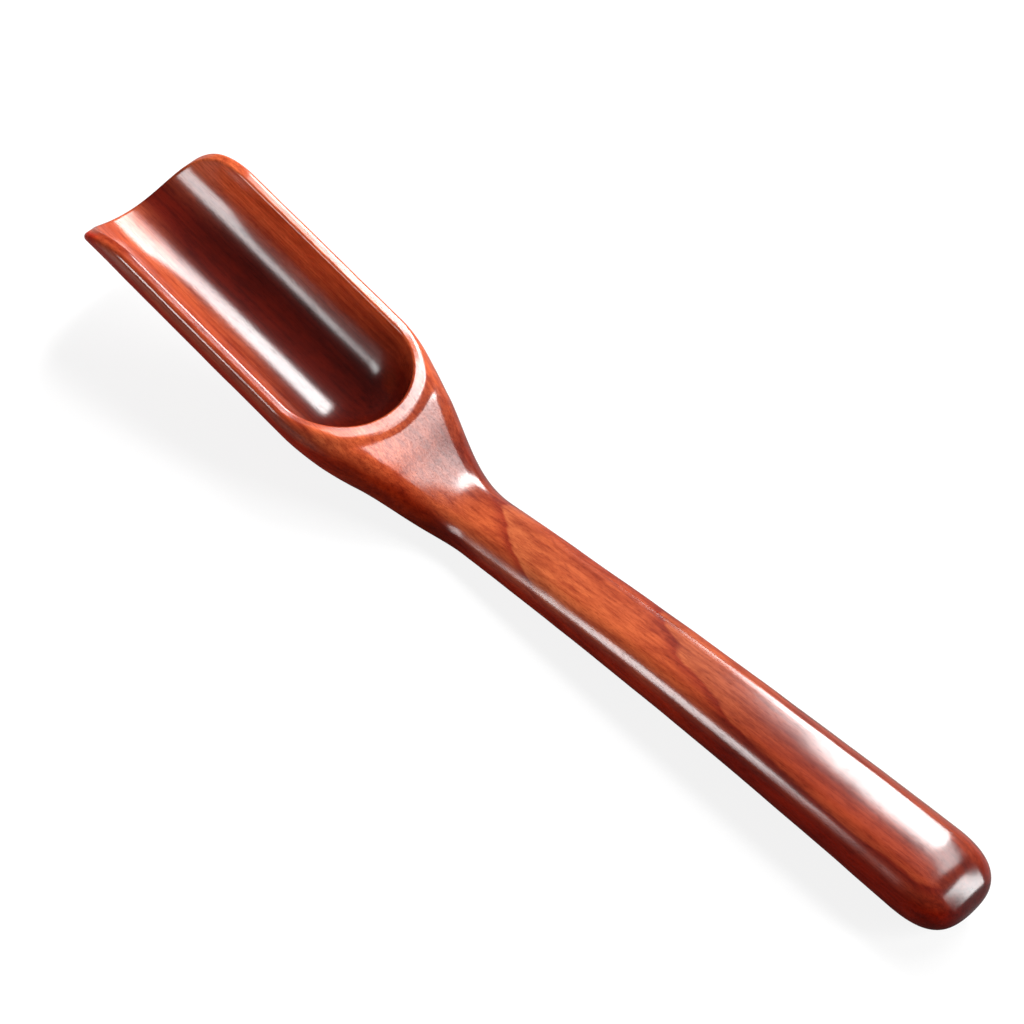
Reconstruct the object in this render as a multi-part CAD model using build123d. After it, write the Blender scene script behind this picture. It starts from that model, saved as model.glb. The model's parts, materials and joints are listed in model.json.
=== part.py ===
from build123d import *
import os
from math import cos, radians, sin, sqrt, tan

# Driving dimensions of the scoop, in millimetres and degrees.
# X runs from the mouth to the butt, Z is up and the scoop lies on the plane Z = 0.

# Trough: a half pipe with a round rear wall, its axis in the plane of the rim
trough_width = 23.6
trough_length = 59.6
floor_thickness = 2.9
rim_land = 2.2
rear_land = 1.9
bowl_tilt = 11.5

# Mouth: cut square to the trough, with its two upper corners rounded
mouth_corner_round = 10.2
mouth_corner_ease = 0.5

# Shoulder between the bowl and the handle
shoulder_length = 33.8
drop_length = 18.3

# Handle: width and thickness at the neck, at the middle and where the butt begins to round
handle_length = 101.4
neck_width = 11.7
middle_width = 13.2
butt_width = 15.7
neck_thickness = 7.3
middle_thickness = 11.2
butt_thickness = 12.0

# Butt: the round end and the small flat left on it
butt_round = 9.2
butt_flat = 4.8
butt_fullness = 2.56
butt_squareness = 0.66

# Rounding of the upper edges
inner_edge_round = 0.5
rim_edge_round = 1.0
neck_edge_round = 4.0
butt_edge_round = 4.8

# Underside: flats rubbed on the heel and the butt, with a shallow hollow between them
rest_flat_depth = 0.35
handle_hollow = 0.7
heel_blend = 0.6

# Places along X, measured from the centre of the trough's round rear wall
trough_radius = trough_width / 2
bowl_half_width = trough_radius + rim_land
bowl_depth = trough_radius + floor_thickness
tilt = radians(bowl_tilt)
rim_height = bowl_depth / cos(tilt)
drop_start = trough_radius + rear_land
drop_end = drop_start + drop_length
neck_x = shoulder_length
butt_x = neck_x + handle_length
round_x = butt_x - butt_round
lip_reach = trough_length - trough_radius
lip_x = -lip_reach * cos(tilt) - bowl_depth * sin(tilt)

# Spacing of the cross-sections
station_step = 5.0


def blend(x, start, end):
    """Smooth step from 0 at start to 1 at end."""
    share = min(max((x - start) / (end - start), 0), 1)
    return share * share * (3 - 2 * share)


def mix(first, second, share):
    return first + (second - first) * share


def through(first, middle, last, share):
    """Parabola through three values at shares 0, 0.5 and 1."""
    return (first * (1 - share) * (1 - 2 * share) + middle * 4 * share * (1 - share)
            + last * share * (2 * share - 1))


def handle_share(x):
    return (x - neck_x) / (round_x - neck_x)


def rim_at(x):
    return rim_height - x * tan(tilt)


def half_width_at(x):
    handle = through(neck_width, middle_width, butt_width, handle_share(max(x, neck_x))) / 2
    return mix(bowl_half_width, handle, blend(x, 0, neck_x))


def top_at(x):
    handle = through(neck_thickness, middle_thickness, butt_thickness, handle_share(x))
    return mix(rim_at(x), handle, blend(x, drop_start, drop_end))


def underside_at(x):
    """Keel of the bowl, running into the hollow underside of the handle."""
    share = min(max(x / round_x, 0), 1)
    handle = 4 * handle_hollow * share * (1 - share) - rest_flat_depth
    rise = rim_at(x) - rim_height - handle
    return handle + (rise + sqrt(rise * rise + heel_blend * heel_blend)) / 2


def edge_round_at(x):
    share = min(max(handle_share(x), 0), 1)
    handle = mix(neck_edge_round, butt_edge_round, share)
    radius = mix(rim_edge_round, handle, blend(x, 0, drop_start))
    return min(radius, 0.8 * half_width_at(x), 0.6 * (top_at(x) - underside_at(x)))


def section(x):
    """Cross-section at x: flat top, round upper edges and a half ellipse below."""
    share = max((x - round_x) / butt_round, 0)
    flat = butt_flat / butt_width
    side = sqrt(1 - (1 - flat * flat) * share ** butt_fullness)
    plan = side ** butt_squareness
    middle = (top_at(round_x) + underside_at(round_x)) / 2
    half = half_width_at(min(x, round_x)) * plan
    top = mix(middle, top_at(min(x, round_x)), side)
    bottom = mix(middle, underside_at(min(x, round_x)), side)
    radius = edge_round_at(min(x, round_x)) * side
    level = top - radius
    reach = half - radius
    outline = [
        Line((reach, top), (-reach, top)),
        CenterArc((-reach, level), radius, 90, 90),
        EllipticalCenterArc((0, level), half, level - bottom, 180, arc_size=180),
        CenterArc((reach, level), radius, 0, 90),
    ]
    plane = Plane(origin=(x, 0, 0), x_dir=(0, 1, 0), z_dir=(1, 0, 0))
    return plane * make_face(outline)


def evenly(start, end):
    """Places from start up to, but not at, end, about one step apart."""
    count = max(round((end - start) / station_step), 2)
    return [mix(start, end, i / count) for i in range(count)]


def station_places():
    """Places of the sections, from ahead of the mouth to the butt, closing up towards the round end."""
    count = max(round(handle_length / station_step), 8)
    turns = [radians(90) * i / count for i in range(count + 1)]
    handle = [neck_x + handle_length * sin(turn) for turn in turns]
    return evenly(lip_x - station_step, 0) + evenly(0, neck_x) + handle


def blank():
    return loft([section(x) for x in station_places()])


def trough():
    """Half pipe and round rear wall, taken out of the blank."""
    up = (sin(tilt), 0, cos(tilt))
    axis = Plane(origin=(0, 0, rim_height), x_dir=up, z_dir=(-cos(tilt), 0, sin(tilt)))
    pipe = axis * Cylinder(trough_radius, 2 * trough_length, align=(Align.CENTER, Align.CENTER, Align.MIN))
    return pipe + Pos(0, 0, rim_height) * Sphere(trough_radius)


def mouth_waste():
    """Wood ahead of the mouth, drawn in the side view of the tilted trough."""
    side = Plane(origin=(0, 0, rim_height), x_dir=(-cos(tilt), 0, sin(tilt)), z_dir=(0, 1, 0))
    top = mouth_corner_ease
    centre = (lip_reach - mouth_corner_round, top - mouth_corner_round)
    ahead = lip_reach + trough_length
    below = -2 * bowl_depth
    outline = [
        CenterArc(centre, mouth_corner_round, 0, 90),
        Line((centre[0], top), (ahead, top + trough_length)),
        Line((ahead, top + trough_length), (ahead, below)),
        Line((ahead, below), (lip_reach, below)),
        Line((lip_reach, below), (lip_reach, centre[1])),
    ]
    return extrude(side * make_face(outline), amount=2 * bowl_half_width, both=True)


def table():
    """Everything below the plane that the scoop lies on."""
    length = 2 * (butt_x - lip_x)
    return Box(length, 4 * bowl_half_width, bowl_depth, align=(Align.CENTER, Align.CENTER, Align.MAX))


def hollowed(body):
    """Body with the trough taken out of it and the inner edge of the rim eased."""
    rest = body - trough()
    ahead_of_mouth = lip_x - station_step / 2
    fresh = new_edges(body, trough(), combined=rest)
    rim = fresh.filter_by(lambda edge: edge.center().X > ahead_of_mouth)
    return fillet(rim, inner_edge_round)


scoop = hollowed(blank()) - mouth_waste() - table()
box = scoop.bounding_box()
scoop = Pos(-box.center().X, 0, 0) * scoop
scoop.label = "scoop"

os.makedirs("parts", exist_ok=True)
export_step(scoop, "parts/scoop.step")
print("size", [round(v, 2) for v in (box.size.X, box.size.Y, box.size.Z)])
print("volume", round(scoop.volume, 1), "centre", [round(v, 2) for v in box.center()])
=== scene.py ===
# %% [markdown]
# # A carved tea scoop
# The scoop is one piece of red hardwood: a half-pipe trough with a round rear wall, a waisted
# shoulder and a slim handle that swells to a round butt. Nothing is glued or pinned on, so the
# scene has one piece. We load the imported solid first, because it fixes the frame: metres, X from
# the mouth to the butt, Z up, and the table at Z = 0.

import json
from math import cos, pi, radians, sin, tan

import bpy
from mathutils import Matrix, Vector

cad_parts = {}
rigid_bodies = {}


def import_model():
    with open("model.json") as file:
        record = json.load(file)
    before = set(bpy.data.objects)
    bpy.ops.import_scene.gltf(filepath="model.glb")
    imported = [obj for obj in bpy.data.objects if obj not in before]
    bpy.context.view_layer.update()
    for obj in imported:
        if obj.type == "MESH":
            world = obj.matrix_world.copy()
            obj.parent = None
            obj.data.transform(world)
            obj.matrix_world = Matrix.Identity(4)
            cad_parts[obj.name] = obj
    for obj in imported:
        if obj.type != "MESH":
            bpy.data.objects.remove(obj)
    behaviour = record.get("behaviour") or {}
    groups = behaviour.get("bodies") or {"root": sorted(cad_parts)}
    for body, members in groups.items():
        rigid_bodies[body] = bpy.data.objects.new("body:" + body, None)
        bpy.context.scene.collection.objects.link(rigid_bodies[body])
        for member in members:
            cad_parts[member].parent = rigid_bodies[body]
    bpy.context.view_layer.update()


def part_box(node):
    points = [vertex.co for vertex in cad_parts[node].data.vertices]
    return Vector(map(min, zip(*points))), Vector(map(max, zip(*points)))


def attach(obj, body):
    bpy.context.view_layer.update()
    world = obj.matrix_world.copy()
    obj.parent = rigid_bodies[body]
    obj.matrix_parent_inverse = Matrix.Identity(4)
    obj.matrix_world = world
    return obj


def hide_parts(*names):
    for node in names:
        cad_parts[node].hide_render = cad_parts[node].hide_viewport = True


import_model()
low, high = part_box("scoop")
mm = 0.001
print("solid scoop, mm:", [round(v / mm, 2) for v in high - low])

# %% [markdown]
# ## Sums in a node tree
# The scoop's form follows a rule: at each place along it, a few sizes give the whole
# cross-section. Geometry Nodes can hold such a rule, but a long sum is hard to read as dozens of
# boxes and wires. So we give a node's output the ordinary signs of arithmetic. Each sign adds one
# Math node, and the rule reads like a formula. The wood's finish uses the same signs later.

# %% Arithmetic on node outputs
class Num:
    """A number in a node tree. The signs + - * / on it add Math nodes."""

    def __init__(self, tree, socket):
        self.tree = tree
        self.socket = socket

    def math(self, operation, *others, clamp=False):
        node = self.tree.nodes.new("ShaderNodeMath")
        node.operation = operation
        node.use_clamp = clamp
        for place, value in enumerate((self,) + others):
            if isinstance(value, Num):
                self.tree.links.new(value.socket, node.inputs[place])
            else:
                node.inputs[place].default_value = value
        return Num(self.tree, node.outputs[0])

    def __add__(self, other):
        return self.math("ADD", other)

    def __radd__(self, other):
        return self.math("ADD", other)

    def __sub__(self, other):
        return self.math("SUBTRACT", other)

    def __rsub__(self, other):
        return self.math("MULTIPLY", -1.0) + other

    def __mul__(self, other):
        return self.math("MULTIPLY", other)

    def __rmul__(self, other):
        return self.math("MULTIPLY", other)

    def __truediv__(self, other):
        return self.math("DIVIDE", other)

    def __rtruediv__(self, other):
        return self.math("POWER", -1.0) * other

    def least(self, other):
        return self.math("MINIMUM", other)

    def most(self, other):
        return self.math("MAXIMUM", other)

    def root(self):
        return self.most(0.0).math("SQRT")

    def above(self, other):
        """1 where this number is greater than the other, else 0."""
        return self.math("GREATER_THAN", other)

    def clamped(self):
        """This number, held between 0 and 1."""
        return self.math("ADD", 0.0, clamp=True)

    def ramp(self, start, length):
        """0 at start, 1 at start + length, straight between them."""
        return ((self - start) / length).clamped()

    def ease(self, start, end):
        """0 at start, 1 at end, with a soft beginning and end."""
        share = self.ramp(start, end - start)
        return share * share * (3.0 - 2.0 * share)


def mix(first, second, share):
    return first + (second - first) * share


def through(first, middle, last, share):
    """Parabola through three values at shares 0, 0.5 and 1."""
    at_first = first * ((1.0 - share) * (1.0 - 2.0 * share))
    at_middle = middle * (4.0 * share * (1.0 - share))
    at_last = last * (share * (2.0 * share - 1.0))
    return at_first + at_middle + at_last


print("signs for node sums are ready")

# %% [markdown]
# ## The sizes
# These are the sizes that a carver would read off the bench, in millimetres and degrees. The main
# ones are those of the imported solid. The carved detail is added here: softer corners at the mouth,
# a raised land behind the trough, a crown on the handle and the ripple that a knife leaves.
# Places along the scoop are measured from the centre of the trough's round rear wall.

# %% Sizes of the scoop
SIZES = {
    "Trough width": 23.6,
    "Trough reach": 48.4,
    "Bowl half width": 14.0,
    "Bowl depth": 14.7,
    "Bowl tilt": radians(11.5),
    "Rear land": 1.9,
    "Mouth corner height": 13.0,
    "Mouth corner length": 13.0,
    "Inner edge round": 0.5,
    "Rim edge round": 1.0,
    "Shoulder length": 33.8,
    "Drop length": 18.3,
    "Handle length": 101.4,
    "Neck width": 11.7,
    "Middle width": 13.2,
    "Butt width": 15.7,
    "Neck thickness": 7.3,
    "Middle thickness": 11.2,
    "Butt thickness": 12.0,
    "Neck edge round": 3.4,
    "Butt edge round": 4.2,
    "Butt round": 9.2,
    "Butt fullness": 2.56,
    "Butt squareness": 0.58,
    "Flat depth": 0.35,
    "Handle hollow": 0.7,
    "Heel blend": 0.6,
    "Neck crown": 0.8,
    "Butt crown": 1.0,
    "Crown crest": 1.2,
    "Top fullness": 2.1,
    "Land lift": 0.5,
    "Land radius": 14.1,
    "Carving ripple": 0.08,
}
print(len(SIZES), "sizes")

# %% [markdown]
# ## A tree with named inputs
# Each size becomes an input of the tree, so the scoop can be changed in the modifier panel without
# touching a node. Two more inputs are the shift into the shared frame and the wood itself.

# %% Tree and inputs
tree = bpy.data.node_groups.new("carved scoop", "GeometryNodeTree")
tree.interface.new_socket("Geometry", in_out="OUTPUT", socket_type="NodeSocketGeometry")
for name, default in SIZES.items():
    socket = tree.interface.new_socket(name, in_out="INPUT", socket_type="NodeSocketFloat")
    socket.default_value = default
tree.interface.new_socket("Shift", in_out="INPUT", socket_type="NodeSocketFloat")
tree.interface.new_socket("Wood", in_out="INPUT", socket_type="NodeSocketMaterial")
inputs = tree.nodes.new("NodeGroupInput")
size = {name: Num(tree, inputs.outputs[name]) for name in [*SIZES, "Shift"]}
print(len(size), "number inputs and one material input")

# %% [markdown]
# ## The body as a wrapped grid
# A loft, a boolean cut or a sculpt could give this form. A boolean leaves long thin faces along
# the rim, where the gloss would show every one of them. Here a flat grid is wrapped into the scoop
# instead. One way of the grid runs from the lip to the butt. The other goes round the section,
# from the keel up the outside, over the rim and down into the trough. So the edges of the rim run
# along grid lines, and the highlights stay clean.

# %% Grid and its numbering
RINGS = {"lip": 48, "rim": 22, "bowl": 8, "turn": 4, "rear wall": 32, "rear edge": 8,
         "land": 36, "shoulder": 36, "handle": 64, "butt": 28}
POINTS = {"keel to side": 24, "outer edge": 14, "land": 22, "inner edge": 6, "trough": 26}
ring_count = sum(RINGS.values()) + 1
half = sum(POINTS.values())
row = 2 * half + 1

grid = tree.nodes.new("GeometryNodeMeshGrid")
grid.inputs["Vertices X"].default_value = ring_count
grid.inputs["Vertices Y"].default_value = row
index = Num(tree, tree.nodes.new("GeometryNodeInputIndex").outputs[0])
ring = ((index + 0.5) / row).math("FLOOR")
place = index - ring * row
across = half - (place - half).math("ABSOLUTE")
side = 2.0 * place.above(half + 0.5) - 1.0
print("grid of", ring_count, "rings of", row, "points")

# %% [markdown]
# ## Where the rings stand
# The rings stand close together where the form turns sharply: round the lip, down the rear wall of
# the trough, over its edge and round the butt. Even spacing would be simpler, but it would spend
# most points on the plain handle and leave the rear wall faceted. So we first work out where the
# form turns: where the rear wall ends below its eased edge, where that edge ends, the neck, and
# where the butt begins to round.

# %% Places where the form turns
radius = size["Trough width"] / 2.0
upright = size["Bowl tilt"].math("COSINE")
slope = size["Bowl tilt"].math("TANGENT")
edge = size["Inner edge round"]
neck = size["Shoulder length"]
butt = neck + size["Handle length"] - size["Butt round"]
inside = (radius * radius - edge * edge) / (upright * upright)
wall_rear = upright * upright * ((edge * edge * slope * slope + inside).root() - edge * slope)
flat_radius = (radius * radius - edge * edge - 2.0 * edge * wall_rear * slope).root()
edge_rear = (flat_radius + edge) * upright
print("trough radius", SIZES["Trough width"] / 2, "mm, neck at", SIZES["Shoulder length"], "mm")

# %% [markdown]
# The rings are then dealt out in runs, from the lip to the butt. A helper tells how far along each
# run a ring stands, and its place follows from that. Down the rear wall and round the butt the
# rings are spaced as on a circle, so they crowd together where the surface stands upright.

# %% Places of the rings along the scoop
BOWL_START = -12.0
TURN_START = -3.0
LAND_REACH = 4.5


def runs(counter, lengths):
    """How far along each named run the counter is: 0 before it, 1 after it."""
    shares = {}
    start = 0
    for name, length in lengths.items():
        shares[name] = counter.ramp(start, length)
        start += length
    return shares


quarter = pi / 2
land_end = edge_rear + LAND_REACH
step = runs(ring, RINGS)
x = BOWL_START + (TURN_START - BOWL_START) * step["bowl"] - TURN_START * step["turn"]
x = x + wall_rear * (step["rear wall"] * quarter).math("SINE")
x = x + (edge_rear - wall_rear) * (1.0 - (step["rear edge"] * quarter).math("COSINE"))
x = x + (land_end - edge_rear) * step["land"] + (neck - land_end) * step["shoulder"]
x = x + (butt - neck) * step["handle"]
x = x + size["Butt round"] * (step["butt"] * quarter).math("SINE")
print("rings in each run:", RINGS)

# %% [markdown]
# ## Width, height and edges along the scoop
# These are the carver's lines: the plan, the side view and how round the edges are. The handle has
# three sizes each for width and thickness and a parabola through them, which gives a fairer line
# than straight tapers would. The shoulder eases from the bowl's lines to the handle's.

# %% Lines of the body
WIDEST_ROUND = 0.8
DEEPEST_ROUND = 0.6

along = x.least(butt)
handle_share = (along - neck) / (butt - neck)
handle_half = through(size["Neck width"], size["Middle width"], size["Butt width"],
                      handle_share.most(0.0)) / 2.0
half_width = mix(size["Bowl half width"], handle_half, along.ease(0.0, neck))
rim_height = size["Bowl depth"] / upright
rim = rim_height - along * slope
drop_start = radius + size["Rear land"]
handle_top = through(size["Neck thickness"], size["Middle thickness"], size["Butt thickness"],
                     handle_share)
top = mix(rim, handle_top, along.ease(drop_start, drop_start + size["Drop length"]))
under_share = (along / butt).most(0.0)
under = 4.0 * size["Handle hollow"] * under_share * (1.0 - under_share) - size["Flat depth"]
rise = rim - rim_height - under
bottom = under + (rise + (rise * rise + size["Heel blend"] * size["Heel blend"]).root()) / 2.0
handle_round = mix(size["Neck edge round"], size["Butt edge round"], handle_share.clamped())
edge_round = mix(size["Rim edge round"], handle_round, along.ease(0.0, drop_start))
edge_round = edge_round.least(half_width * WIDEST_ROUND).least((top - bottom) * DEEPEST_ROUND)
print("lines: plan, top, underside and edge rounding")

# %% [markdown]
# The butt is rounded like a pebble: full at first and turning in quickly at the end. A half ball
# would look pointed, so the section closes by a curve that can be set between a cone and a box.

# %% Round end of the butt
end_share = ((x - butt) / size["Butt round"]).clamped()
closing = (1.0 - end_share.math("POWER", size["Butt fullness"])).root()
closing = closing * (1.0 - ring.above(ring_count - 1.5))
top_closing = (1.0 - end_share.math("POWER", size["Top fullness"])).root()
middle = (top + bottom) / 2.0
half_width = half_width * closing.math("POWER", size["Butt squareness"])
top = mix(middle, top, top_closing)
bottom = mix(middle, bottom, closing)
edge_round = edge_round * top_closing
print("butt closes over the last", SIZES["Butt round"], "mm")

# %% [markdown]
# ## The outside, the rim and the trough
# Going round a ring, five stretches follow one another: a quarter ellipse from the keel to the
# side, the round outer edge, the land of the rim, its eased inner edge, and the wall of the trough
# down to its middle. Behind the trough the last two have no room left. There they fan out over the
# top of the handle.

# %% Outside of a ring and its inner edge
FAN_SHARE = 0.8
TINY = 0.0001

stretch = runs(across, POINTS)
out_turn = stretch["keel to side"] * quarter
edge_turn = stretch["outer edge"] * quarter
level = top - edge_round
reach = half_width - edge_round
y_out = half_width * out_turn.math("SINE") - edge_round * (1.0 - edge_turn.math("COSINE"))
z_out = level - (level - bottom) * out_turn.math("COSINE") + edge_round * edge_turn.math("SINE")

behind = x.most(0.0)
flat_behind = behind / upright
eased = 2.0 * edge * behind.least(wall_rear) * slope
wall_radius = (radius * radius - edge * edge - eased).root()
past_wall = ((flat_behind - flat_radius) / edge).clamped()
least_turn = (1.0 - past_wall).math("ARCCOSINE")
inner_turn = mix(quarter, least_turn, stretch["inner edge"])
inner_radius = wall_radius + edge * (1.0 - inner_turn.math("COSINE"))
inner_done = stretch["inner edge"] * POINTS["inner edge"] + stretch["trough"] * POINTS["trough"]
inner_left = 1.0 - inner_done / (POINTS["inner edge"] + POINTS["trough"])
fan = reach * FAN_SHARE * x.ease(edge_rear, neck) * inner_left
y_edge = (inner_radius * inner_radius - flat_behind * flat_behind - TINY).root() + fan
z_edge = top - edge * (1.0 - inner_turn.math("SINE"))
print("ring of", row - 1, "points:", POINTS)

# %% [markdown]
# The trough is a half pipe that ends in a quarter of a ball of the same radius. Ahead of the
# ball's middle a point of the wall lies on the pipe, and behind it on the ball. The two surfaces
# touch there, so they join without a seam.

# %% Wall of the trough
LEAST_DIVISOR = 0.001

ring_radius = (radius * radius - behind * behind).root().most(LEAST_DIVISOR)
wall_turn = ((behind * slope + edge) / ring_radius).least(1.0).math("ARCCOSINE")
y_wall = ring_radius * (wall_turn * (1.0 - stretch["trough"])).math("SINE")
pipe_depth = x * slope + (radius * radius - y_wall * y_wall).root() / upright
ball_depth = (radius * radius - x * x - y_wall * y_wall).root()
in_pipe = (-1.0 * pipe_depth * slope).above(x)
depth = mix(ball_depth, pipe_depth, in_pipe)
ahead_of_wall = 1.0 - x.above(wall_rear - TINY)
over_edge = top - edge * (1.0 - least_turn.math("SINE"))
z_wall = mix(over_edge, rim_height - depth, ahead_of_wall)
y_wall = y_wall * ahead_of_wall + fan

in_trough = stretch["trough"].above(0.0)
y = y_out + stretch["land"] * (y_edge - reach)
z = mix(z_out, z_edge, stretch["land"].above(0.0))
y = mix(y, y_wall, in_trough)
z = mix(z, z_wall, in_trough)
print("trough of", SIZES["Trough width"], "mm, with a round rear wall")

# %% [markdown]
# ## Raised land and crowned handle
# Behind the trough the land of the rim stands a little proud of the shoulder, as a ring with a
# soft outer edge. And the top of the handle isn't flat: it is crowned across its width, with the
# crest a little to the far side, so a reflection lies on one half of it only. A bump in the
# material could hint at both, but only real height moves the reflections.

# %% Raised land and crowned top
LAND_EDGE_IN = 0.3
LAND_EDGE_OUT = 1.5
LIFT_START, LIFT_FULL = 1.0, 9.0
CROWN_LEAD = 2.0

from_centre = ((x / upright) * (x / upright) + y * y).root()
on_ring = 1.0 - from_centre.ease(size["Land radius"] - LAND_EDGE_IN,
                                 size["Land radius"] + LAND_EDGE_OUT)
lift = size["Land lift"] * x.ease(LIFT_START, LIFT_FULL) * on_ring * edge_turn.math("SINE")
crown = mix(size["Neck crown"], size["Butt crown"], handle_share.most(0.0))
crown = crown * along.ease(drop_start - CROWN_LEAD, neck) * top_closing
crest = size["Crown crest"] * along.ease(drop_start, neck) * closing
off_crest = (y * side - crest) / half_width.most(LEAST_DIVISOR)
crown = crown * off_crest * off_crest * (z - bottom) / (top - bottom).most(LEAST_DIVISOR)
z = z + lift * (1.0 - in_trough * ahead_of_wall) - crown
print("land lifted by", SIZES["Land lift"], "mm, top crowned by up to", SIZES["Butt crown"], "mm")

# %% [markdown]
# ## The mouth
# The bowl is straight near the mouth, so its surface can be followed in three numbers: how far
# along the trough, how far below the rim, and how far to the side. The land of the rim runs on
# round the mouth's upper corner and down to the middle of the lip. Each ring crosses it a little
# further on, and the last ring lies in the middle plane, where the two halves of the grid meet and
# close the lip. A square cut would be easier, but then no grid line would follow its edge, and the
# edge could not be rounded.

# %% Rings of the mouth
MOUTH_RINGS = RINGS["lip"] + RINGS["rim"]

going_down = 1.0 - step["lip"]
dip = (going_down * going_down * quarter).math("SINE")
rim_edge = size["Rim edge round"]
bowl_depth = size["Bowl depth"]
bowl_half = size["Bowl half width"]
corner_high = size["Mouth corner height"]
corner_long = size["Mouth corner length"]
corner_back = size["Trough reach"] - corner_long
start_along = -BOWL_START / upright
back_on_rim = (corner_back - start_along) * step["rim"]
print("mouth:", MOUTH_RINGS, "rings")

# %% [markdown]
# The mouth's outline in the side view is a quarter ellipse at each upper corner and then a straight
# cut. The helpers say where a depth meets that outline, and where the walls begin behind it.

# %% Helpers for the mouth's outline
def crossing(depth, back):
    """Where the mouth's outline lies at a depth below the rim, and which way it faces there."""
    over = (corner_high - depth).most(0.0) / corner_high
    forward = (1.0 - over * over).root()
    face_along = forward / corner_long
    face_up = over / corner_high
    length = (face_along * face_along + face_up * face_up).root()
    return corner_back + corner_long * forward - back, face_along / length, face_up / length


def outer_side(depth):
    low_share = ((depth - rim_edge) / (bowl_depth - rim_edge)).clamped()
    return bowl_half * (1.0 - low_share * low_share).root()


def inner_side(depth):
    return (radius * radius - depth * depth).root()


def step_back(depth, amount, side_at, deepest, back):
    """A point on the wall, a little behind the crossing: along, depth and side."""
    reach_along, face_along, face_up = crossing(depth, back)
    lower = (depth + amount * face_up).least((depth + deepest) / 2.0)
    return reach_along - amount * face_along, lower, side_at(lower)


print("corners:", SIZES["Mouth corner length"], "mm long,", SIZES["Mouth corner height"], "mm high")

# %% [markdown]
# Each ring meets the outline twice: once on the outside and once in the trough. The land of the
# rim lies between the two crossings, and the walls begin a little behind them.

# %% Outer and inner crossings
outer_depth = bowl_depth * dip
inner_depth = radius * dip
outer_cross = (crossing(outer_depth, back_on_rim)[0], outer_depth, outer_side(outer_depth))
inner_cross = (crossing(inner_depth, back_on_rim)[0], inner_depth, inner_side(inner_depth))
outer_wall = step_back(outer_depth, rim_edge, outer_side, bowl_depth, back_on_rim)
inner_wall = step_back(inner_depth, edge, inner_side, radius, back_on_rim)
gap = [inner - outer for outer, inner in zip(outer_cross, inner_cross)]
gap_width = (gap[0] * gap[0] + gap[1] * gap[1] + gap[2] * gap[2]).root()
inward = [part / gap_width for part in gap]
print("outer and inner crossings, each with a wall behind it")

# %% [markdown]
# Each ring of the mouth is then drawn stretch by stretch, as for the rest of the scoop. The two
# long stretches come first: the outer wall from the keel upwards, and the wall of the trough.

# %% Walls of the mouth
behind_lip = ring / float(MOUTH_RINGS)
keel = mix(size["Trough reach"] - rim_edge, start_along - bowl_depth * slope, behind_lip)
lip_floor = step_back(radius, edge, inner_side, radius, 0.0)[0]
floor_line = mix(lip_floor, start_along - radius * slope, behind_lip)

outer_top = ((outer_wall[1] - rim_edge) / (bowl_depth - rim_edge)).clamped().math("ARCCOSINE")
outer_now = outer_top * stretch["keel to side"]
outer_arc = (mix(keel, outer_wall[0], stretch["keel to side"]),
             rim_edge + (bowl_depth - rim_edge) * outer_now.math("COSINE"),
             bowl_half * outer_now.math("SINE"))
inner_top = (inner_wall[1] / radius).least(1.0).math("ARCCOSINE")
inner_now = inner_top * (1.0 - stretch["trough"])
inner_arc = (mix(inner_wall[0], floor_line, stretch["trough"]),
             radius * inner_now.math("COSINE"),
             radius * inner_now.math("SINE"))
print("walls:", SIZES["Bowl depth"], "mm deep outside,", SIZES["Trough width"] / 2, "mm inside")

# %% [markdown]
# The two edges are quarter rounds between the walls and the land. A place in the mouth has three
# numbers, and the same sum serves for each of them, so it stands in a loop.

# %% Edges and land of the mouth
to_land = 1.0 - edge_turn.math("COSINE")
to_cross = 1.0 - edge_turn.math("SINE")
inner_edge_turn = stretch["inner edge"] * quarter
to_wall = 1.0 - inner_edge_turn.math("COSINE")
from_land = 1.0 - inner_edge_turn.math("SINE")
past_side = stretch["outer edge"].above(0.0)
past_land = stretch["inner edge"].above(0.0)
mouth_place = []
for i in range(3):
    on_edge = outer_cross[i] + to_cross * (outer_wall[i] - outer_cross[i])
    on_edge = on_edge + to_land * rim_edge * inward[i]
    land_length = inner_cross[i] - outer_cross[i] - (rim_edge + edge) * inward[i]
    on_inner = inner_cross[i] - from_land * edge * inward[i]
    on_inner = on_inner + to_wall * (inner_wall[i] - inner_cross[i])
    value = mix(outer_arc[i], on_edge + stretch["land"] * land_length, past_side)
    value = mix(value, on_inner, past_land)
    mouth_place.append(mix(value, inner_arc[i], in_trough))
print("mouth ring of", row - 1, "points")

# %% [markdown]
# ## Put the points in place
# The mouth's rings and the other rings come together here. No point may go below the table, and
# that rubs the two small flats on the underside. Then the grid's seams are welded.

# %% Wrap the grid and weld it
WELD_DISTANCE = 0.004 * mm


def after(node, kind):
    """A new node that takes the geometry of another one."""
    following = tree.nodes.new(kind)
    tree.links.new(node.outputs[0], following.inputs["Geometry"])
    return following


in_mouth = (MOUTH_RINGS - 0.5 - ring).above(0.0)
lean = size["Bowl tilt"].math("SINE")
mouth_x = -1.0 * mouth_place[0] * upright - mouth_place[1] * lean
mouth_z = rim_height + mouth_place[0] * lean - mouth_place[1] * upright
x_end = mix(x, mouth_x, in_mouth) + size["Shift"]
y_end = mix(y, mouth_place[2], in_mouth) * side
z_end = mix(z, mouth_z, in_mouth).most(0.0)

combine = tree.nodes.new("ShaderNodeCombineXYZ")
for axis_name, value in zip("XYZ", (x_end, y_end, z_end)):
    tree.links.new((value * mm).socket, combine.inputs[axis_name])
wrap = after(grid, "GeometryNodeSetPosition")
tree.links.new(combine.outputs[0], wrap.inputs["Position"])
weld = after(wrap, "GeometryNodeMergeByDistance")
weld.inputs["Distance"].default_value = WELD_DISTANCE
print("seams closer than", WELD_DISTANCE / mm, "mm are welded")

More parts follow.
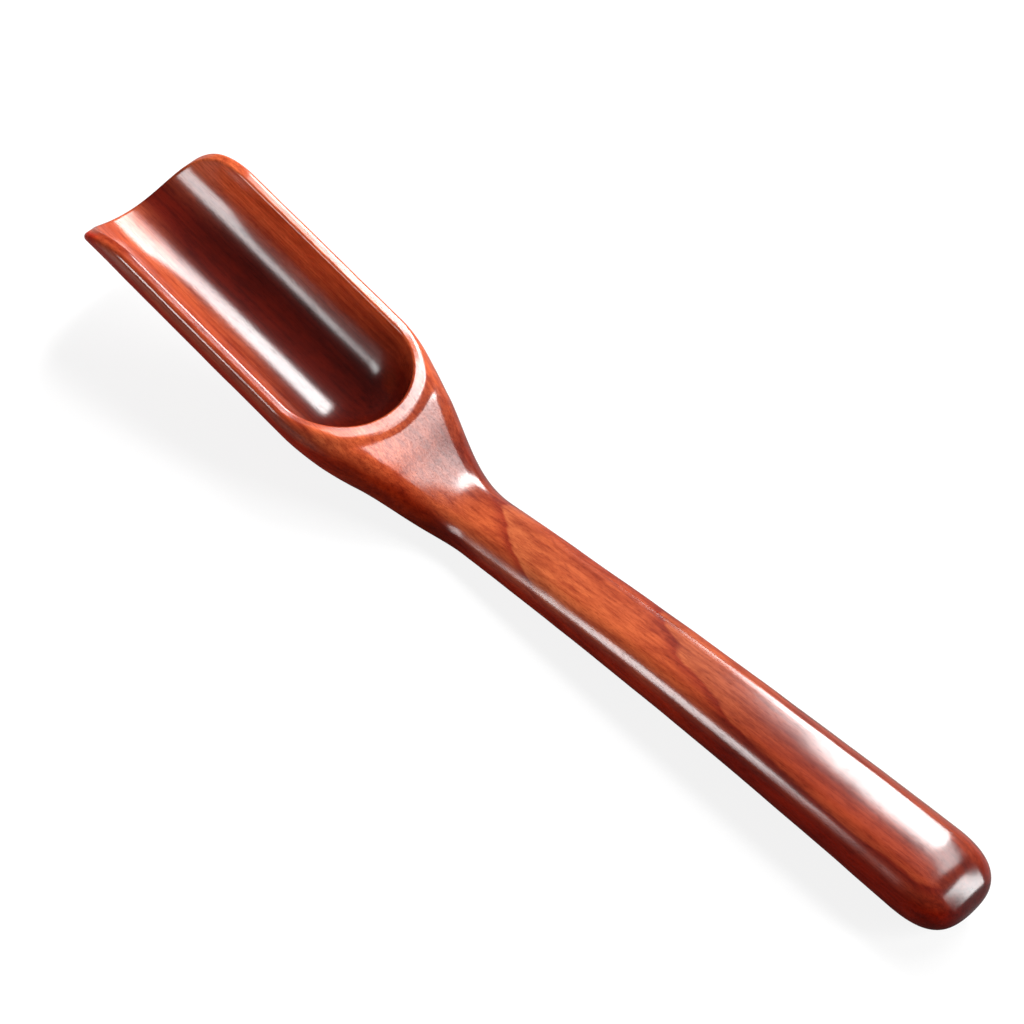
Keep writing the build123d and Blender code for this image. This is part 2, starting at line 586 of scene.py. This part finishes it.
# %% [markdown]
# ## Ripple of the knife
# A hand-carved scoop is never quite even: a knife leaves shallow waves, and the gloss shows them as
# a slight wavering of the highlights. A bump in the material could do this for the light only. A
# push of less than a tenth of a millimetre along the normals does it in the form itself. The
# trough was scraped smooth, so it ripples less, and the flats on the table stay flat.

# %% Ripple
RIPPLE_LENGTH = 9.0 * mm
SCRAPED_SHARE = 0.3
SCRAPED_TO, CARVED_FROM = 12.0, 14.0
TABLE_STAYS, TABLE_CLEAR = 0.5, 3.0

ripple = tree.nodes.new("ShaderNodeTexNoise")
ripple.inputs["Scale"].default_value = 1.0 / RIPPLE_LENGTH
ripple.inputs["Detail"].default_value = 1.0
where = tree.nodes.new("GeometryNodeInputPosition")
tree.links.new(where.outputs[0], ripple.inputs["Vector"])
parts = tree.nodes.new("ShaderNodeSeparateXYZ")
tree.links.new(where.outputs[0], parts.inputs[0])
here_x, here_y, here_z = (Num(tree, parts.outputs[name]) / mm for name in "XYZ")
here_x = here_x - size["Shift"]
below_rim = (rim_height - here_x * slope - here_z) * upright
past_centre = here_x.most(0.0)
from_axis = (past_centre * past_centre + here_y * here_y + below_rim * below_rim).root()
scraped = mix(SCRAPED_SHARE, 1.0, from_axis.ease(SCRAPED_TO, CARVED_FROM))
off_table = here_z.ease(TABLE_STAYS, TABLE_CLEAR)
push = (Num(tree, ripple.outputs[0]) - 0.5) * (2.0 * size["Carving ripple"] * mm)
push = push * off_table * scraped

along_normal = tree.nodes.new("ShaderNodeVectorMath")
along_normal.operation = "SCALE"
normal = tree.nodes.new("GeometryNodeInputNormal")
tree.links.new(normal.outputs[0], along_normal.inputs[0])
tree.links.new(push.socket, along_normal.inputs["Scale"])
carve = after(weld, "GeometryNodeSetPosition")
tree.links.new(along_normal.outputs[0], carve.inputs["Offset"])
print("ripple of up to", SIZES["Carving ripple"], "mm")

# %% [markdown]
# The tree ends with smooth shading, Realize Instances and Set Material, so that what leaves it is
# plain geometry that carries its wood.

# %% End of the tree
smooth = after(carve, "GeometryNodeSetShadeSmooth")
realize = after(smooth, "GeometryNodeRealizeInstances")
finish = after(realize, "GeometryNodeSetMaterial")
tree.links.new(inputs.outputs["Wood"], finish.inputs["Material"])
after(finish, "NodeGroupOutput")
print(len(tree.nodes), "nodes in the tree")

# %% [markdown]
# ## Where a point lies in the wood
# The finish has to know where it is on the scoop: how far behind the rear wall, how far to the
# side and how far below the top. A picture wrapped round the scoop would know none of this. Object
# coordinates and the sizes from above give it, and they stay with the wood from every side.

# %% Places for the finish
wood = bpy.data.materials.new("red hardwood")
wood.use_nodes = True
finish_tree = wood.node_tree
point = finish_tree.nodes.new("ShaderNodeTexCoord").outputs["Object"]
split = finish_tree.nodes.new("ShaderNodeSeparateXYZ")
finish_tree.links.new(point, split.inputs[0])
far_along, wide, high_up = (Num(finish_tree, split.outputs[name]) / mm for name in "XYZ")
nearer = -1.0 * wide

SHIFT = high.x / mm - SIZES["Shoulder length"] - SIZES["Handle length"]
rim_slope = tan(SIZES["Bowl tilt"])
straight_length = SIZES["Handle length"] - SIZES["Butt round"]
drop_from = SIZES["Trough width"] / 2 + SIZES["Rear land"]
drop_to = drop_from + SIZES["Drop length"]
from_wall = far_along - SHIFT
rim_line = SIZES["Bowl depth"] / cos(SIZES["Bowl tilt"]) - rim_slope * from_wall
on_handle = ((from_wall - SIZES["Shoulder length"]) / straight_length).most(0.0)
handle_line = through(SIZES["Neck thickness"], SIZES["Middle thickness"],
                      SIZES["Butt thickness"], on_handle)
below_top = mix(rim_line, handle_line, from_wall.ease(drop_from, drop_to)) - high_up
behind_wall = from_wall.most(0.0)
from_trough = (behind_wall * behind_wall + wide * wide + below_top * below_top).root()
print("rear wall's centre at X =", round(SHIFT, 2), "mm")

# %% [markdown]
# ## Figure of the wood
# Everything that varies in wood is drawn out along the fibres: streaks, mottling and pores differ
# only in how long and how thick they are. So one helper makes them all, as noise with a length for
# each direction. In the bowl the fibres follow its tilt.

# %% Noise along the fibres
FIBRE_BEND = 12.0
# Name: sizes along, across and up in millimetres, detail, roughness
FIGURE = {
    "wide wander": ((60, 12, 12), 2.0, 0.5),
    "fine wander": ((6, 2, 2), 2.0, 0.5),
    "side edge": ((40, 5, 5), 2.0, 0.5),
    "heartwood edge": ((40, 7, 7), 2.0, 0.5),
    "streak": ((38, 0.55, 0.55), 3.0, 0.6),
    "mottle": ((5.5, 1.5, 1.5), 4.0, 0.65),
    "pore": ((1.3, 0.14, 0.14), 1.0, 0.5),
    "pore end": ((0.45, 0.28, 0.28), 1.0, 0.5),
}
fibre = finish_tree.nodes.new("ShaderNodeCombineXYZ")
with_bowl = high_up - rim_slope * (FIBRE_BEND - from_wall).most(0.0)
for name, value in zip("XYZ", (far_along, wide, with_bowl)):
    finish_tree.links.new(value.socket, fibre.inputs[name])


def grain(name):
    """Noise from 0 to 1 with the sizes of one figure of the wood."""
    sizes, detail, roughness = FIGURE[name]
    mapping = finish_tree.nodes.new("ShaderNodeMapping")
    mapping.inputs["Scale"].default_value = [1.0 / length for length in sizes]
    finish_tree.links.new(fibre.outputs[0], mapping.inputs["Vector"])
    texture = finish_tree.nodes.new("ShaderNodeTexNoise")
    texture.inputs["Scale"].default_value = 1.0
    texture.inputs["Detail"].default_value = detail
    texture.inputs["Roughness"].default_value = roughness
    finish_tree.links.new(mapping.outputs[0], texture.inputs["Vector"])
    return Num(finish_tree, texture.outputs[0])


print(len(FIGURE), "figures of the wood")

# %% [markdown]
# ## Zones of the scoop
# The colour changes from place to place: the low sides are darker as painted shade, more so by the
# shoulder's near side and on the far side, the butt is redder, its far edge is kept light as painted
# light, and the shoulder is cut across the fibres. Each such zone is a number from 0 to 1. The tables
# say where a zone begins and where it is complete, so they can be read and changed like a drawing.

# %% Zones along and across
# Millimetres behind the rear wall's centre
ALONG = {
    "mouth": (-50.0, -28.0),
    "trough": (-25.0, 8.0),
    "shoulder": (4.0, 14.0),
    "end grain": (9.0, 13.0),
    "neck": (20.0, 34.0),
    "after end grain": (27.0, 36.0),
    "after shoulder": (28.0, 40.0),
    "grip": (34.0, 44.0),
    "deep butt": (70.0, 104.0),
    "red butt": (74.0, 108.0),
    "clear far edge": (76.0, 112.0),
    "after grip": (80.0, 100.0),
}
# Millimetres from the middle plane, towards the near side and towards the far side
NEAR = {"handle": (0.0, 5.5), "shoulder": (2.0, 6.0), "trough wall": (2.0, 7.0), "rim": (11.4, 12.6)}
FAR = {"middle": (-5.0, 1.0), "grip": (-1.0, 3.0), "edge": (2.5, 6.0), "side": (3.0, 9.0)}


def past(name):
    return from_wall.ease(*ALONG[name])


def near(name):
    return nearer.ease(*NEAR[name])


def far(name):
    return wide.ease(*FAR[name])


print(len(ALONG), "zones along the scoop,", len(NEAR) + len(FAR), "across it")

# %% [markdown]
# The low sides are the largest zone, and their darker colour is painted shade. They begin a few
# millimetres below the top, a little higher on the near side and by the shoulder, with an uneven
# edge, and they leave out the trough.

# %% Low sides of painted shade, and smaller zones
SIDEWAYS_MOST = 7.0
TROUGH_SKIN = 12.2
HOLLOW_END = 12.9
RIM_CLEAR = 13.4
SIDE_START, SIDE_FULL = 2.3, 4.9
SIDE_LEAN = 0.2
SHOULDER_SHADE = 1.6
FAR_EDGE_CLEAR = 0.75
FAR_EDGE_LIT = 0.85

past_neck = past("neck")
in_bowl = 1.0 - past_neck
in_hollow = 1.0 - from_trough.ease(TROUGH_SKIN, HOLLOW_END)
end_grain = past("end grain") * (1.0 - past("after end grain"))
# Where the painted shade by the shoulder falls, on its near side.
near_shoulder = past("shoulder") * (1.0 - past("after shoulder")) * near("shoulder")
# Painted light: the far edge of the butt keeps a lighter colour, with less red and less darkening.
lit_edge = 1.0 - FAR_EDGE_LIT * far("edge")
grip = past("grip") * (1.0 - past("after grip")) * far("grip")

sideways = wide.most(-SIDEWAYS_MOST).least(SIDEWAYS_MOST)
down = below_top - SIDE_LEAN * sideways + SHOULDER_SHADE * near_shoulder
down = down + (grain("side edge") - 0.5)
# Painted shade: the low sides get a darker colour, as if in shade.
shaded_low_side = down.ease(SIDE_START, SIDE_FULL) * from_trough.ease(TROUGH_SKIN, RIM_CLEAR)
# Painted light: the painted shade is mostly left off the far half of the butt.
shaded_low_side = shaded_low_side * (1.0 - FAR_EDGE_CLEAR * past("clear far edge") * far("middle"))
print("low sides from", SIDE_START, "to", SIDE_FULL, "mm below the top")

# %% [markdown]
# ## Growth rings
# The handle's top shows two slanting lines: growth rings of the tree, cut at a shallow angle. A
# ring begins with light wood, darkens slowly and stops at a sharp edge, where the next year begins.
# So the finish needs one number, how far a point lies out from the heart of the tree, and its
# fraction tells how far through the year the wood grew. Lines painted on the top would not meet
# the side and the trough, which cut through the same rings.

# %% Distance from the heart of the tree
RING_WIDTH = 3.3
FIRST_EDGE = 7.7
RING_LEAN = 0.35
RING_SKEW = 0.143
RING_BOW = 200.0
WANDER = 0.5

wander = WANDER * (grain("wide wander") - 0.5) + WANDER * (grain("fine wander") - 0.5)
out_from_heart = handle_line - RING_LEAN * below_top
out_from_heart = out_from_heart + past_neck * (RING_SKEW * wide + wide * wide / RING_BOW) + wander
in_ring = ((out_from_heart - FIRST_EDGE) / RING_WIDTH).math("FRACT")
print("growth rings every", RING_WIDTH, "mm")

# %% [markdown]
# ## Colour of the wood
# The ring gives light or dark wood, and every other change of colour multiplies it by a tint. The
# wood is like coloured glass: each layer of colour takes away some green and blue, so dark wood
# gets redder and never grey. A table keeps the tints together, with how strongly each may show.

# %% Ring colours and tints
RING_EDGE = (0.60, 0.080, 0.025)
RING_COLOURS = [(0.0, RING_EDGE), (0.03, (1.00, 0.290, 0.098)), (0.35, (0.98, 0.245, 0.078)),
                (0.90, (0.88, 0.185, 0.055)), (0.985, RING_EDGE), (1.0, RING_EDGE)]
TINTS = {
    # Dark core of the wood, partly painted shade in the trough's floor and rear
    "heartwood": ((0.20, 0.052, 0.036), 1.0),
    "red": ((0.58, 0.36, 0.32), 1.0),
    "butt": ((0.76, 0.60, 0.64), 1.0),
    # Painted shade: the low sides, by the shoulder's near side and on the far low side
    "low side": ((0.78, 0.22, 0.11), 1.0),
    "near shoulder": ((0.45, 0.45, 0.45), 1.0),
    "far side": ((0.55, 0.60, 0.65), 1.0),
    "bowl": ((0.70, 0.58, 0.58), 1.0),
    "streak": ((0.58, 0.36, 0.30), 0.6),
    "mottle": ((0.60, 0.38, 0.34), 0.7),
    "pore": ((0.50, 0.34, 0.30), 0.5),
    "pore end": ((0.62, 0.50, 0.46), 0.45),
}
print(len(RING_COLOURS), "stops in a ring,", len(TINTS), "tints")

# %% [markdown]
# Two helpers do the mixing: a ramp of colours along a number, and a tint where a zone says so. The
# rings are plain on the handle and faint in the bowl and on the low sides.

# %% Mixing of colours
PLAIN_WOOD = 0.55
RINGS_IN_BOWL = 0.25
RINGS_HIDDEN = 0.8


def colours(share, stops):
    """A ramp of colours along a number."""
    ramp = finish_tree.nodes.new("ShaderNodeValToRGB")
    while len(ramp.color_ramp.elements) < len(stops):
        ramp.color_ramp.elements.new(0.5)
    for element, (position, colour) in zip(ramp.color_ramp.elements, stops):
        element.position = position
        element.color = (*colour, 1)
    finish_tree.links.new(share.socket, ramp.inputs[0])
    return ramp.outputs[0]


def darken(colour, name, share):
    """Multiply a colour by a tint of the table, where the share says so."""
    tint, strength = TINTS[name]
    node = finish_tree.nodes.new("ShaderNodeMix")
    node.data_type = "RGBA"
    node.blend_type = "MULTIPLY"
    finish_tree.links.new((strength * share).socket, node.inputs[0])
    finish_tree.links.new(colour, node.inputs[6])
    node.inputs[7].default_value = (*tint, 1)
    return node.outputs[2]


marked = mix(RINGS_IN_BOWL, 1.0, past_neck) * (1.0 - RINGS_HIDDEN * shaded_low_side)
colour = colours(mix(PLAIN_WOOD, in_ring, marked), RING_COLOURS)
print("rings at", RINGS_IN_BOWL, "of their strength in the bowl")

# %% [markdown]
# A core of deep red heartwood runs through the billet, a little to the far side, and the trough is
# carved into it. The core is partly painted shade: it swells towards the trough's rear and darkens
# its floor, where shade falls. The handle reddens towards the butt, except along its far edge, which
# stays light as painted light, and the low sides are darker than the top as painted shade.

# %% Heartwood, painted shade and zones
CORE_ASIDE = 4.0
CORE_DOWN = 11.0
CORE_INSIDE, CORE_OUTSIDE = 3.0, 11.0
CORE_UNEVEN = 4.0
CORE_SWELL, CORE_SHRINK = 5.0, 2.0
RED = {"butt": 0.95, "handle": 0.55, "rim": 0.8, "trough wall": 0.7}

core_y = wide - CORE_ASIDE
core_z = below_top - CORE_DOWN
from_core = (core_y * core_y + core_z * core_z).root()
from_core = from_core + CORE_UNEVEN * (grain("heartwood edge") - 0.5)
core_swell = CORE_SWELL * past("trough") - CORE_SHRINK * (1.0 - past("mouth"))
core_and_shade = 1.0 - (from_core - core_swell).ease(CORE_INSIDE, CORE_OUTSIDE)
red = RED["butt"] * past("red butt") * lit_edge
red = red + RED["handle"] * near("handle") * past_neck
red = red + RED["rim"] * near("rim") * in_bowl
red = red + RED["trough wall"] * near("trough wall") * in_hollow

# Dark core of the wood, partly painted shade in the trough's floor and rear.
colour = darken(colour, "heartwood", core_and_shade)
colour = darken(colour, "red", red.least(1.0))
colour = darken(colour, "butt", past("deep butt") * (1.0 - shaded_low_side) * lit_edge)
# Painted shade on the low sides, darker again by the shoulder and on the far side.
colour = darken(colour, "low side", shaded_low_side)
# Painted shade on the near side of the shoulder.
colour = darken(colour, "near shoulder", shaded_low_side * near_shoulder)
colour = darken(colour, "far side", shaded_low_side * far("side"))
colour = darken(colour, "bowl", in_bowl * (1.0 - shaded_low_side))
print("heartwood", CORE_DOWN, "mm below the top")

# %% [markdown]
# Fibres show as fine streaks, and pores as short dark dashes along them. On the slope behind the
# trough the knife cut across the fibres. There the pores show their open ends, as fine dots.

# %% Streaks, mottling and pores
# From which level of the noise a mark shows, and how softly
SHOWS = {"streak": (0.42, 0.20), "mottle": (0.42, 0.22), "pore": (0.54, 0.16), "pore end": (0.46, 0.16)}

streak = grain("streak").ramp(*SHOWS["streak"])
mottle = grain("mottle")
pore = grain("pore").ramp(*SHOWS["pore"])
pore_end = grain("pore end").ramp(*SHOWS["pore end"]) * end_grain * (1.0 - shaded_low_side)
colour = darken(colour, "streak", streak)
colour = darken(colour, "mottle", mottle.ramp(*SHOWS["mottle"]))
colour = darken(colour, "pore", pore)
colour = darken(colour, "pore end", pore_end)
print("colour:", len(finish_tree.nodes), "nodes")

# %% [markdown]
# ## The clear coat
# The scoop is rubbed with a clear lacquer. It lies on the wood as a second, smoother surface, so
# the shader's coat gives the sharp reflections and the wood below stays dull. A smooth wood without
# a coat would shine as well, but its pores and mottling would break up every reflection. Over an
# open pore the lacquer sinks in and shines less. The low sides have little of it, the trough a
# little less, and fingers have worn it on the grip.

# %% Shader
# Where the coat is thinner, and how much of it is gone there
COAT_LOST = [(pore, 0.35), (pore_end, 0.25), (shaded_low_side, 0.9), (grip, 0.6), (in_hollow, 0.15)]
WOOD_DULL, MOTTLE_DULL = 0.40, 0.2

shader = finish_tree.nodes["Principled BSDF"]
finish_tree.links.new(colour, shader.inputs["Base Color"])
dull = WOOD_DULL + MOTTLE_DULL * mottle
finish_tree.links.new(dull.socket, shader.inputs["Roughness"])
shader.inputs["Specular IOR Level"].default_value = 0.04
shader.inputs["Coat Roughness"].default_value = 0.18
shader.inputs["Coat IOR"].default_value = 1.55
coat = 1.0
for where_thin, lost in COAT_LOST:
    coat = coat * (1.0 - lost * where_thin)
finish_tree.links.new(coat.socket, shader.inputs["Coat Weight"])
print("coat is thinner in", len(COAT_LOST), "kinds of places")

# %% [markdown]
# The wood under the lacquer isn't quite smooth: pores are shallow dents in it, and the mottling
# stands up a little. Both are far finer than the grid, so a bump is enough for them. It bends the
# wood's own normals, and the coat above stays smooth.

# %% Relief of the wood
PORE_DEPTH = 0.03 * mm
MOTTLE_SHARE = 0.4
PORE_END_SHARE = 0.5

relief = finish_tree.nodes.new("ShaderNodeBump")
relief.inputs["Strength"].default_value = 0.4
relief.inputs["Distance"].default_value = PORE_DEPTH
height = MOTTLE_SHARE * mottle - pore - PORE_END_SHARE * pore_end
finish_tree.links.new(height.socket, relief.inputs["Height"])
finish_tree.links.new(relief.outputs[0], shader.inputs["Normal"])
print("wood:", len(finish_tree.nodes), "nodes")

# %% [markdown]
# ## Make the body
# The tree runs once on an empty mesh. Its result becomes a plain mesh, and the object with the
# modifier is deleted. A live modifier could still be changed later, but what leaves the scene has
# to be a plain mesh. The body then takes the solid's place in the frame.

# %% Turn the tree's result into a mesh
seed_mesh = bpy.data.meshes.new("scoop seed")
maker = bpy.data.objects.new("scoop_maker", seed_mesh)
bpy.context.scene.collection.objects.link(maker)
modifier = maker.modifiers.new("carved scoop", "NODES")
modifier.node_group = tree
sockets = {item.name: item.identifier for item in tree.interface.items_tree if item.in_out == "INPUT"}
for name, value in SIZES.items():
    modifier[sockets[name]] = value
modifier[sockets["Shift"]] = SHIFT
modifier[sockets["Wood"]] = wood
view = bpy.context.evaluated_depsgraph_get()
mesh = bpy.data.meshes.new_from_object(maker.evaluated_get(view))
mesh.name = "scoop_body"
bpy.data.objects.remove(maker)
body = bpy.data.objects.new("scoop_body", mesh)
bpy.context.scene.collection.objects.link(body)
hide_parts("scoop")
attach(body, "root")
spans = [[v.co[i] / mm for v in mesh.vertices] for i in range(3)]
print("body:", len(mesh.vertices), "points,", len(mesh.polygons), "faces, mm",
      [(round(min(span), 2), round(max(span), 2)) for span in spans])

# %% [markdown]
# ## Floor
# A sheet of pale paper. The camera sees it nearly white, and the gloss sees a little of that.
# Scattered light sees a soft grey, so that the paper doesn't throw its own light back up on the
# dark side of the scoop. A white paper under strong lamps would do just that. The shadow stays on
# the paper. Far off it is a little brighter, where no lamp reaches, so that no horizon shows.

# %% Paper
PAPER_GREY = 0.17
REFLECTED_SHARE = 0.08
PAPER_BRIGHTNESS = 0.85
DIM_WITHIN, WHITE_BEYOND = 0.3, 1.6


def in_view(nodes_of):
    """1 where the camera looks, and a little where a reflection does."""
    ray = nodes_of.nodes.new("ShaderNodeLightPath")
    glossy = Num(nodes_of, ray.outputs["Is Glossy Ray"])
    reflected = glossy.most(Num(nodes_of, ray.outputs["Is Transmission Ray"]))
    return Num(nodes_of, ray.outputs["Is Camera Ray"]).most(REFLECTED_SHARE * reflected)


paper = bpy.data.materials.new("pale paper")
paper.use_nodes = True
sheet = paper.node_tree
flat_paper = sheet.nodes["Principled BSDF"]
flat_paper.inputs["Base Color"].default_value = (*[PAPER_GREY] * 3, 1)
flat_paper.inputs["Roughness"].default_value = 1.0
flat_paper.inputs["Specular IOR Level"].default_value = 0.0
flat_paper.inputs["Emission Color"].default_value = (1, 1, 1, 1)
spot = sheet.nodes.new("ShaderNodeSeparateXYZ")
sheet.links.new(sheet.nodes.new("ShaderNodeTexCoord").outputs["Object"], spot.inputs[0])
floor_x, floor_y = (Num(sheet, spot.outputs[name]) for name in "XY")
far_off = (floor_x * floor_x + floor_y * floor_y).root().ease(DIM_WITHIN, WHITE_BEYOND)
glow = in_view(sheet) * mix(PAPER_BRIGHTNESS, 1.0, far_off)
sheet.links.new(glow.socket, flat_paper.inputs["Emission Strength"])
print("paper:", len(sheet.nodes), "nodes")

# %% [markdown]
# The sheet itself is one square face, far wider than any view of the scoop. It isn't part of the
# object.

# %% Sheet on the table
FLOOR_REACH = 3.0

floor_mesh = bpy.data.meshes.new("floor")
corners = [(FLOOR_REACH * a, FLOOR_REACH * b, 0) for a, b in ((-1, -1), (1, -1), (1, 1), (-1, 1))]
floor_mesh.from_pydata(corners, [], [(0, 1, 2, 3)])
floor = bpy.data.objects.new("floor", floor_mesh)
bpy.context.scene.collection.objects.link(floor)
floor_mesh.materials.append(paper)
print("floor", 2 * FLOOR_REACH, "m wide")

# %% [markdown]
# ## Light
# One even sky would light the scoop well enough, but it would leave the gloss without a form. So
# the sky gives only a little light. The camera sees it white, as it sees the paper far off.

# %% Sky
SKY_LIGHT = 0.05

sky = bpy.data.worlds.new("studio")
bpy.context.scene.world = sky
sky.use_nodes = True
sky_tree = sky.node_tree
background = sky_tree.nodes["Background"]
background.inputs["Color"].default_value = (1, 1, 1, 1)
sky_tree.links.new(in_view(sky_tree).most(SKY_LIGHT).socket, background.inputs["Strength"])
print("sky lights the scoop with", SKY_LIGHT, "of white")

# %% [markdown]
# The other light comes from five soft boxes, and the gloss shows where they stand. A tall one on
# the far left draws the white band in the trough and the bright far edge of the handle. A dimmer
# one overhead lies on the slope behind the trough, one on the near side draws the strip along the
# near edge, and a narrow one shines on the butt. The fifth, low on the far side, only fills the
# shade and doesn't show in the gloss.

# %% Soft boxes
AIM = Vector((0, 0, 0.01))


def soft_box(name, place, wide_m, tall_m, brightness):
    """A soft box at a place, turned to the scoop, with a brightness where 1 is white."""
    lamp = bpy.data.lights.new(name, "AREA")
    lamp.shape = "RECTANGLE"
    lamp.size = wide_m
    lamp.size_y = tall_m
    lamp.energy = brightness * pi * wide_m * tall_m
    box = bpy.data.objects.new(name, lamp)
    bpy.context.scene.collection.objects.link(box)
    box.location = place
    box.rotation_euler = (AIM - box.location).to_track_quat("-Z", "Y").to_euler()
    return box


soft_box("far left", (-0.184, 0.464, 0.435), 0.16, 0.48, 26)
fill = soft_box("far low", (-0.05, 0.62, 0.22), 0.60, 0.30, 4)
fill.visible_glossy = False
soft_box("overhead", (0.05, 0.31, 0.60), 0.42, 0.15, 10)
soft_box("near side", (-0.26, -0.485, 0.226), 0.13, 0.20, 15)
soft_box("by the butt", (0.557, 0.281, 0.229), 0.14, 0.48, 17)
print("five soft boxes")

# %% [markdown]
# ## Camera
# A long lens, high on the near right, as in the photograph. Its place was found together with the
# scoop's sections, by fitting both to the outline.

# %% Camera
AZIMUTH = radians(45.907)
ELEVATION = radians(50.883)
DISTANCE = 0.6658
TARGET = Vector((-0.00331, -0.00012, 0.01297))
SENSOR_MM = 36
LENS_PIXELS = 4323.8
IMAGE_PIXELS = 1024

camera_data = bpy.data.cameras.new("camera")
camera_data.sensor_width = SENSOR_MM
camera_data.lens = LENS_PIXELS * SENSOR_MM / IMAGE_PIXELS
camera_data.clip_start = 0.01
camera = bpy.data.objects.new("camera", camera_data)
bpy.context.scene.collection.objects.link(camera)
to_right = sin(AZIMUTH) * cos(ELEVATION)
to_near = cos(AZIMUTH) * cos(ELEVATION)
camera.location = TARGET + DISTANCE * Vector((to_right, -to_near, sin(ELEVATION)))
camera.rotation_euler = (TARGET - camera.location).to_track_quat("-Z", "Y").to_euler()
bpy.context.scene.camera = camera
bpy.context.scene.view_settings.view_transform = "Standard"
print("camera at", [round(v, 3) for v in camera.location])
